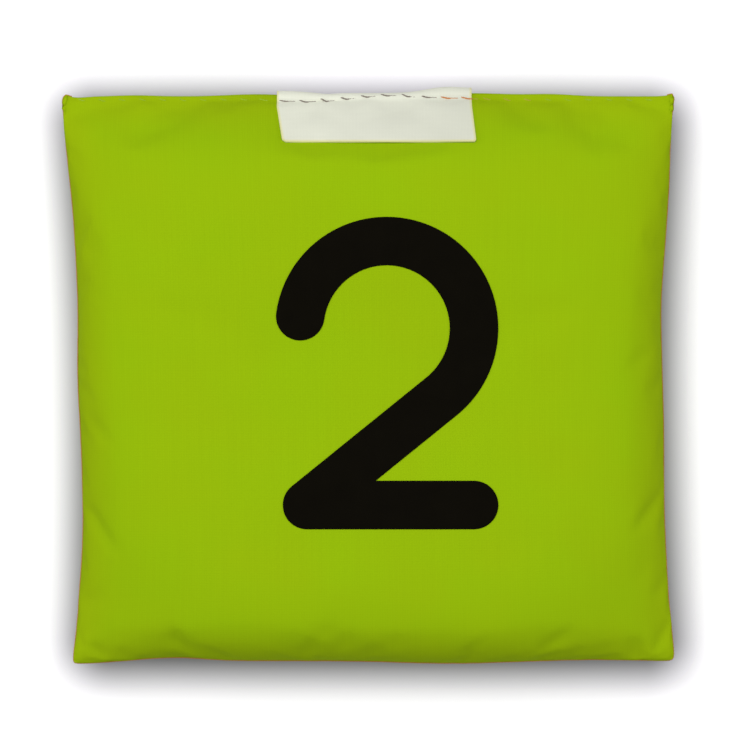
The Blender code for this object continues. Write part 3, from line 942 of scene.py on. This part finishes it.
def ribbon_half(name, side, panel, sizes):
    """Half of the ribbon, from the middle of its fold over one panel to the flap's end."""
    cloth = [surface_of(panel)]
    rows = label_rows()
    last = len(rows) - 1
    bm = bmesh.new()
    edge_distance, flat_x, flat_y = (
        bm.verts.layers.float.new(layer) for layer in ("edge_distance", "flat_x", "flat_y"))
    for vert, column, row in add_grid(bm, LABEL_COLUMNS, last):
        turn, y = rows[last - row]
        left, right = label_sides(RIBBON_HIGH.y if y is None else y)
        x = left + (right - left) * column / LABEL_COLUMNS
        if y is None:
            vert.co = fold_point(x, turn, cloth, side, sizes)
        else:
            vert.co = flap_point(x, y, cloth, side, sizes)
        vert[flat_x] = x
        vert[flat_y] = (last - row) * LABEL_CELL
        vert[edge_distance] = min(x - left, right - x, vert.co.y - LABEL_END_Y)
    write_flat(bm, flat_x, flat_y)
    bmesh.ops.recalc_face_normals(bm, faces=bm.faces)
    if sum(face.normal.z * side for face in bm.faces) < 0:
        bmesh.ops.reverse_faces(bm, faces=bm.faces)
    ribbon = new_object(name, mesh_from(name, bm))
    add_wall(ribbon, sizes.ribbon)
    apply_modifiers(ribbon)
    ribbon.data.set_sharp_from_angle(angle=SHARP)
    return ribbon


class BEANBAG_OT_label(bpy.types.Operator):
    """Folds the ribbon label over the closed edge"""

    bl_idname = "bean_bag.label"
    bl_label = "Ribbon label"

    def execute(self, context):
        finish = woven_ribbon(context.scene.bag_colours)
        halves = (
            ("ribbon_front", FRONT, "front_cloth", "front_flap", ("label_fold", "label_front_flap")),
            ("ribbon_back", BACK, "back_cloth", "back_flap", ("label_back_flap",)),
        )
        start = (0, HINGE_Y + BEND_ABOVE, SEAM_LEVEL)
        end = (0, HINGE_Y - BEND_BELOW, SEAM_LEVEL)
        for name, side, panel, flap, nodes in halves:
            ribbon = ribbon_half(name, side, panel, context.scene.bag_sizes)
            ribbon.data.materials.append(finish)
            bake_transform(ribbon, "bag", flap, start=start, end=end)
            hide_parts(*nodes)
        return {"FINISHED"}


# Threads


def add_thread(bm, path, radius):
    """A two-ply thread along a path, as a grid closed to a tube. Its section has a waist that turns."""
    last = len(path) - 1
    grid = add_grid(bm, THREAD_SIDES, last)
    lengths = [0.0]
    for start, end in zip(path, path[1:]):
        lengths.append(lengths[-1] + (end - start).length)
    for vert, side, place in grid:
        angle = 2 * math.pi * side / THREAD_SIDES
        direction = (path[min(place + 1, last)] - path[max(place - 1, 0)]).normalized()
        outward = direction.cross(Vector((0, 0, 1))).normalized()
        up = outward.cross(direction)
        waist = 1 - PLY_DEPTH * math.sin(angle - 2 * math.pi * lengths[place] / PLY_TWIST) ** 2
        vert.co = path[place] + radius * waist * (outward * math.cos(angle) + up * math.sin(angle))
    bmesh.ops.remove_doubles(bm, verts=[vert for vert, side, place in grid], dist=radius * WELD_SHARE)
    ends = [edge for edge in bm.edges if edge.is_boundary]
    bmesh.ops.holes_fill(bm, edges=ends, sides=THREAD_SIDES)


def sew(name, paths, node, finish, sizes, shares):
    """A piece of thread along some paths. Shares give the darkened and the sunk share of each point."""
    bm = bmesh.new()
    for path in paths:
        add_thread(bm, path, sizes.thread / 2)
    darkened, sunk = (bm.verts.layers.float.new(layer) for layer in ("darkened", "sunk"))
    for vert in bm.verts:
        vert[darkened], vert[sunk] = shares(vert.co.x)
    bmesh.ops.recalc_face_normals(bm, faces=bm.faces)
    dress(new_object(name, mesh_from(name, bm)), finish, node)


def smooth_path(points, spacing):
    """Points a short way apart along straight lines through the given ones."""
    path = [points[0]]
    for start, end in zip(points, points[1:]):
        steps = max(1, round((end - start).length / spacing))
        path += [start.lerp(end, step / steps) for step in range(1, steps + 1)]
    return path


def eased(points):
    """The path with each point moved to the middle of its neighbours, several times over."""
    for turn in range(EASING_TURNS):
        inner = [(before + after) / 2 for before, after in zip(points, points[2:])]
        points = [points[0], *inner, points[-1]]
    return points


def groove_point(across, along, panels, sizes):
    """Where a seam thread lies next to the outermost cloth, at one place of the outline."""
    seam = Vector((*outline_point(across, along, 0.0), SEAM_LEVEL))
    outside = Vector((*outline_point(across, along, -sizes.allowance), SEAM_LEVEL))
    outward = (outside - seam).normalized()
    hits = []
    for side, panel in panels.items():
        for level in FOLD_LEVELS:
            start = outside + Vector((0, 0, side * level * sizes.fold))
            hits.append(panel.ray_cast(start, -outward, 2 * sizes.allowance)[0])
    reach = max(((hit - seam).dot(outward) for hit in hits if hit), default=0.0)
    return seam + outward * (reach + SEAM_THREAD_OUT)


def seam_places(sizes):
    """Places in the groove between the panels, down the left, along the bottom and up the right, each with
    how far the stitches swing there."""
    panels = {FRONT: surface_of("front_cloth"), BACK: surface_of("back_cloth")}
    end = 1 - SEAM_THREAD_END / HALF_WIDTH
    corners = ((-end, 1), (-1, 1), (-1, -1), (1, -1), (1, 1), (end, 1))
    travelled = 0.0
    for start, stop in zip(corners, corners[1:]):
        run = math.hypot((stop[0] - start[0]) * HALF_WIDTH, (stop[1] - start[1]) * HALF_LENGTH)
        steps = round(run / THREAD_STEP)
        for step in range(steps):
            across, along = (first + (last - first) * step / steps for first, last in zip(start, stop))
            stitch = (travelled + run * step / steps) / sizes.seam_stitch
            swing = SEAM_THREAD_SWING * math.cos(2 * math.pi * stitch)
            yield groove_point(across, along, panels, sizes), swing
        travelled += run


class BEANBAG_OT_seam_threads(bpy.types.Operator):
    """Lays the two threads of the seam into its groove"""

    bl_idname = "bean_bag.seam_threads"
    bl_label = "Seam threads"

    def execute(self, context):
        sizes = context.scene.bag_sizes
        finish = spun_thread(context.scene.bag_colours)
        places = list(seam_places(sizes))
        rows = (
            ("seam_stitches_front", FRONT, "seam_needle_thread"),
            ("seam_stitches_back", BACK, "seam_bobbin_thread"),
        )
        for name, side, node in rows:
            path = [place + Vector((0, 0, side * (SEAM_THREAD_SPREAD - swing))) for place, swing in places]
            sew(name, [eased(path)], node, finish, sizes, lambda x: (0.0, SEAM_SUNK))
        return {"FINISHED"}


def closing_shares(x):
    """The thread is darker and greyer on the label, and takes on the cloth's tint where it sinks into the
    cloth.
    """
    if RIBBON_LOW.x < x < RIBBON_HIGH.x:
        return float(x < DARKENED_END), 0.0
    return 0.0, HALF_SUNK if RIBBON_HIGH.x <= x < HALF_SUNK_END else 1.0


def wander(number, side, draw):
    """How far one stitch differs from the next, the same in every run."""
    step, place = draw
    return noise.noise(Vector((number * step, side, place)))


def stitch_path(number, pitch, surfaces, side, sizes):
    """One stitch of the closing row: up through its hole, slantwise over the cloth and down again."""
    points = []
    slant = STITCH_SLANT * (STITCH_SLANT_SHARE + wander(number, side, SLANT_DRAW))
    shown = STITCH_SHOWN + STITCH_SHOWN_SWING * wander(number, side, SHOWN_DRAW)
    middle_x = ROW_LOW.x + number * pitch + pitch / 2
    sunk = 0.0 if RIBBON_LOW.x < middle_x < RIBBON_HIGH.x else SUNK_SHARE
    for step in range(STITCH_STEPS + 1):
        way = step / STITCH_STEPS
        x = middle_x + pitch * (way - 0.5) * shown
        y = row_y(x) + slant * (0.5 - smooth_step(way / STITCH_HIGH))
        rising = RISE_SHARE * smooth_step(way / STITCH_TURN)
        sinking = SINK_SHARE * smooth_step((way - STITCH_HIGH) / STITCH_TURN)
        stand = sizes.thread * (rising - sinking - HOLE_SHARE - sunk)
        points.append(Vector((x, y, height_on(surfaces, x, y, side) + side * stand)))
    return smooth_path(points, THREAD_STEP)


class BEANBAG_OT_closing_stitches(bpy.types.Operator):
    """Sews the closing row through the label and the closed edge"""

    bl_idname = "bean_bag.closing_stitches"
    bl_label = "Closing stitches"

    def execute(self, context):
        sizes = context.scene.bag_sizes
        finish = spun_thread(context.scene.bag_colours)
        rows = (
            ("closing_stitches_front", FRONT, ("front_cloth", "ribbon_front"), "closing_needle_thread"),
            ("closing_stitches_back", BACK, ("back_cloth", "ribbon_back"), "closing_bobbin_thread"),
        )
        stitches = round((ROW_HIGH.x - ROW_LOW.x) / sizes.closing_stitch)
        pitch = (ROW_HIGH.x - ROW_LOW.x) / stitches
        for name, side, pieces, node in rows:
            surfaces = [surface_of(piece) for piece in pieces]
            paths = [stitch_path(number, pitch, surfaces, side, sizes) for number in range(stitches)]
            sew(name, paths, node, finish, sizes, closing_shares)
        return {"FINISHED"}


# Fill


def pellet_shape(sizes):
    """One pellet: a short cut strand with softened ends."""
    radius = sizes.pellet / 2
    bm = bmesh.new()
    bmesh.ops.create_cone(
        bm, cap_ends=True, segments=PELLET_SIDES, radius1=radius, radius2=radius,
        depth=sizes.pellet * PELLET_LENGTH_SHARE)
    caps = [edge for edge in bm.edges if any(len(face.verts) == PELLET_SIDES for face in edge.link_faces)]
    softening = sizes.pellet * PELLET_ROUND_SHARE
    bmesh.ops.bevel(bm, geom=caps, offset=softening, affect="EDGES", segments=1, profile=0.5, material=-1)
    return mesh_from("pellet", bm)


def pellet_places(sizes):
    """Middles of pellets that lie in layers, each in the dips of the one below, wherever there is room."""
    spacing = sizes.pellet * PELLET_SPACING_SHARE
    layer_height = spacing * math.sqrt(2 / 3)
    row_spacing = spacing * math.sqrt(3) / 2
    margin = sizes.cloth + spacing * PELLET_MARGIN_SHARE
    inset = sizes.allowance + margin
    layers = math.ceil((PANEL_HIGH.z - BACK_LOW.z) / layer_height)
    rows = math.ceil(2 * HALF_LENGTH / row_spacing)
    columns = math.ceil(2 * HALF_WIDTH / spacing)
    for layer, row, column in itertools.product(range(layers), range(rows), range(columns)):
        x = PANEL_LOW.x + (column + row % 2 / 2 + layer % 2 / 2) * spacing
        y = MIDDLE_Y - HALF_LENGTH + (row + layer % 2 / 3) * row_spacing
        z = BACK_LOW.z + margin + layer * layer_height
        along = (y - MIDDLE_Y) / (HALF_LENGTH - inset)
        left, right = sides_at(max(-1.0, min(1.0, along)))
        across = 2 * (x - left - inset) / (right - left - 2 * inset) - 1
        if abs(along) > 1 or abs(across) > 1:
            continue
        top = cloth_height(across, along, FRONT, sizes) - margin
        bottom = cloth_height(across, along, BACK, sizes) + margin
        if bottom <= z <= top:
            yield Vector((x, y, z))


class BEANBAG_OT_pellets(bpy.types.Operator):
    """Fills the bag with loose pellets"""

    bl_idname = "bean_bag.pellets"
    bl_label = "Pellets"

    def execute(self, context):
        sizes = context.scene.bag_sizes
        chance = random.Random(PELLET_DRAW)
        shape = pellet_shape(sizes)
        jitter = sizes.pellet * PELLET_JITTER_SHARE
        bm = bmesh.new()
        for place in pellet_places(sizes):
            turn = Euler([chance.uniform(0, 2 * math.pi) for axis in range(3)]).to_matrix().to_4x4()
            shift = Vector([chance.uniform(-jitter, jitter) for axis in range(3)])
            pellet = shape.copy()
            pellet.transform(Matrix.Translation(place + shift) @ turn)
            bm.from_mesh(pellet)
            bpy.data.meshes.remove(pellet)
        fill = new_object("pellet_fill", mesh_from("pellet_fill", bm))
        dress(fill, moulded_pellets(context.scene.bag_colours), "bean_fill")
        return {"FINISHED"}


# Stage


def empty_tree(owner):
    owner.use_nodes = True
    owner.node_tree.nodes.clear()
    return owner.node_tree


def split_rays(tree, kind, lighting, seen):
    """Ends a tree with one shader for the light that falls on things, and with another for what the camera
    sees, straight or in a mirror or through glass."""
    rays = tree.nodes.new("ShaderNodeLightPath").outputs
    share_seen = rays["Is Camera Ray"]
    for ray in ("Is Glossy Ray", "Is Transmission Ray"):
        share_seen = add_node(tree, "Math", {0: share_seen, 1: rays[ray]}, operation="MAXIMUM")
    chosen = add_node(tree, "MixShader", {0: share_seen, 1: lighting, 2: seen})
    tree.links.new(chosen, tree.nodes.new(kind).inputs["Surface"])


def painted_shade_share(tree):
    """How much of the bag's soft shadow is painted on a place of the paper. It follows the bag's four sides.
    """
    place = add_node(tree, "TexCoord", {}, "Object")
    x, y = (add_node(tree, "SeparateXYZ", {"Vector": place}, axis) for axis in "XY")
    bottom = MIDDLE_Y - HALF_LENGTH
    top = MIDDLE_Y + HALF_LENGTH
    half_step = LOWER_LEFT_STEP / 2
    along = add_node(tree, "MapRange", {"Value": y, "From Min": bottom, "From Max": top, "To Min": -1.0})
    bow = add_node(tree, "Math", {0: along, 1: along}, operation="MULTIPLY")
    draw = add_node(tree, "Math", {0: bow, 1: -SIDE_DRAW, 2: SIDE_DRAW}, operation="MULTIPLY_ADD")
    step = add_node(tree, "Math", {0: along, 1: -half_step, 2: half_step}, operation="MULTIPLY_ADD")
    left_draw = add_node(tree, "Math", {0: draw, 1: step}, operation="ADD")
    from_left = add_node(tree, "Math", {0: x, 1: left_draw}, operation="SUBTRACT")
    from_right = add_node(tree, "Math", {0: x, 1: draw}, operation="ADD")
    shade = 1.0
    for value, edge, outward in (
            (from_left, SHADE_RIGHT - HALF_WIDTH, -1), (from_right, SHADE_RIGHT + HALF_WIDTH, 1),
            (y, bottom - SHADE_DOWN, -1), (y, top - SHADE_DOWN, 1)):
        end = edge + outward * SHADE_REACH
        limits = {"From Min": end, "From Max": end - outward * SHADE_SOFTNESS}
        side = add_node(tree, "MapRange", {"Value": value, **limits}, interpolation_type="SMOOTHSTEP")
        shade = add_node(tree, "Math", {0: side, 1: shade}, operation="MULTIPLY")
    return shade


def paper_floor(colours):
    """Matt white paper. The camera sees it pure white, and grey where a soft shadow of the bag is painted on
    it.
    """
    material = bpy.data.materials.new("white_paper")
    tree = empty_tree(material)
    plain = add_node(tree, "BsdfDiffuse", {"Color": (*colours.paper, 1.0)})
    # painted shadow: the paper that the camera sees is darkened around the bag by the drawn shade
    open_share = add_node(tree, "Math", {0: 1.0, 1: painted_shade_share(tree)}, operation="SUBTRACT")
    light = add_node(tree, "Math", {0: open_share, 1: DEEPEST_SHADE}, operation="MAXIMUM")
    tint = add_node(tree, "Mix", {0: light, 4: UNDER_TINT, 5: OPEN_TINT}, 1, data_type="VECTOR")
    shaded = add_node(tree, "VectorMath", {0: tint, 3: light}, operation="SCALE")
    white = add_node(tree, "BsdfDiffuse", {"Color": shaded})
    lift_strength = add_node(tree, "Math", {0: light, 1: PAPER_LIFT}, operation="MULTIPLY")
    lift = add_node(tree, "Emission", {"Strength": lift_strength})
    split_rays(tree, "ShaderNodeOutputMaterial", plain, add_node(tree, "AddShader", {0: white, 1: lift}))
    return material


def light_sky(stage):
    world = bpy.data.worlds.new("sky")
    tree = empty_tree(world)
    lighting, seen = (
        add_node(tree, "Background", {"Color": WHITE, "Strength": strength}) for strength in (stage.sky, 1.0))
    split_rays(tree, "ShaderNodeOutputWorld", lighting, seen)
    bpy.context.scene.world = world


def hang_lamp(name, place, size, power):
    """A square soft lamp that faces the bag."""
    data = bpy.data.lights.new(name, "AREA")
    data.size = size
    data.energy = power
    lamp = new_object(name, data)
    lamp.location = place
    lamp.rotation_euler = Vector(place).to_track_quat("Z", "Y").to_euler()


class BEANBAG_OT_stage(bpy.types.Operator):
    """Lays the floor, hangs the lamps and sets up the camera"""

    bl_idname = "bean_bag.stage"
    bl_label = "Stage"

    def execute(self, context):
        stage = context.scene.stage_sizes
        bm = bmesh.new()
        bmesh.ops.create_grid(bm, x_segments=1, y_segments=1, size=FLOOR_HALF)
        floor = new_object("floor", mesh_from("floor", bm))
        floor.data.materials.append(paper_floor(context.scene.bag_colours))
        light_sky(stage)
        top = (-stage.lamp_left, stage.lamp_back, stage.lamp_height)
        hang_lamp("top_lamp", top, stage.lamp_size, stage.lamp_power)
        for name, side in (("left_lamp", -1), ("right_lamp", 1)):
            place = (side * stage.side_distance, 0, stage.side_height)
            hang_lamp(name, place, stage.side_size, stage.side_power)
        data = bpy.data.cameras.new("camera")
        data.lens = data.sensor_width * stage.camera_height / stage.view_width
        camera = new_object("camera", data)
        camera.location = (stage.view_right, stage.view_up, SEAM_LEVEL + stage.camera_height)
        context.scene.camera = camera
        context.scene.view_settings.view_transform = "Standard"
        return {"FINISHED"}


class BEANBAG_PT_pieces(bpy.types.Panel):
    """Lists the pieces of the bean bag"""

    bl_label = "Bean bag"
    bl_space_type = "VIEW_3D"
    bl_region_type = "UI"
    bl_category = "Bean bag"

    def draw(self, context):
        for operator in OPERATORS:
            self.layout.operator(operator.bl_idname)


GROUPS = {"bag_sizes": BagSizes, "bag_colours": BagColours, "stage_sizes": StageSizes}
OPERATORS = (
    BEANBAG_OT_cloth,
    BEANBAG_OT_numeral,
    BEANBAG_OT_label,
    BEANBAG_OT_seam_threads,
    BEANBAG_OT_closing_stitches,
    BEANBAG_OT_pellets,
    BEANBAG_OT_stage,
)


def register():
    for name, group in GROUPS.items():
        bpy.utils.register_class(group)
        setattr(bpy.types.Scene, name, bpy.props.PointerProperty(type=group))
    for kind in (*OPERATORS, BEANBAG_PT_pieces):
        bpy.utils.register_class(kind)


def unregister():
    for kind in (BEANBAG_PT_pieces, *reversed(OPERATORS)):
        bpy.utils.unregister_class(kind)
    for name, group in GROUPS.items():
        delattr(bpy.types.Scene, name)
        bpy.utils.unregister_class(group)


def main():
    register()
    bpy.ops.bean_bag.cloth()
    bpy.ops.bean_bag.numeral()
    bpy.ops.bean_bag.label()
    bpy.ops.bean_bag.seam_threads()
    bpy.ops.bean_bag.closing_stitches()
    bpy.ops.bean_bag.pellets()
    bpy.ops.bean_bag.stage()


if __name__ == "__main__":
    main()
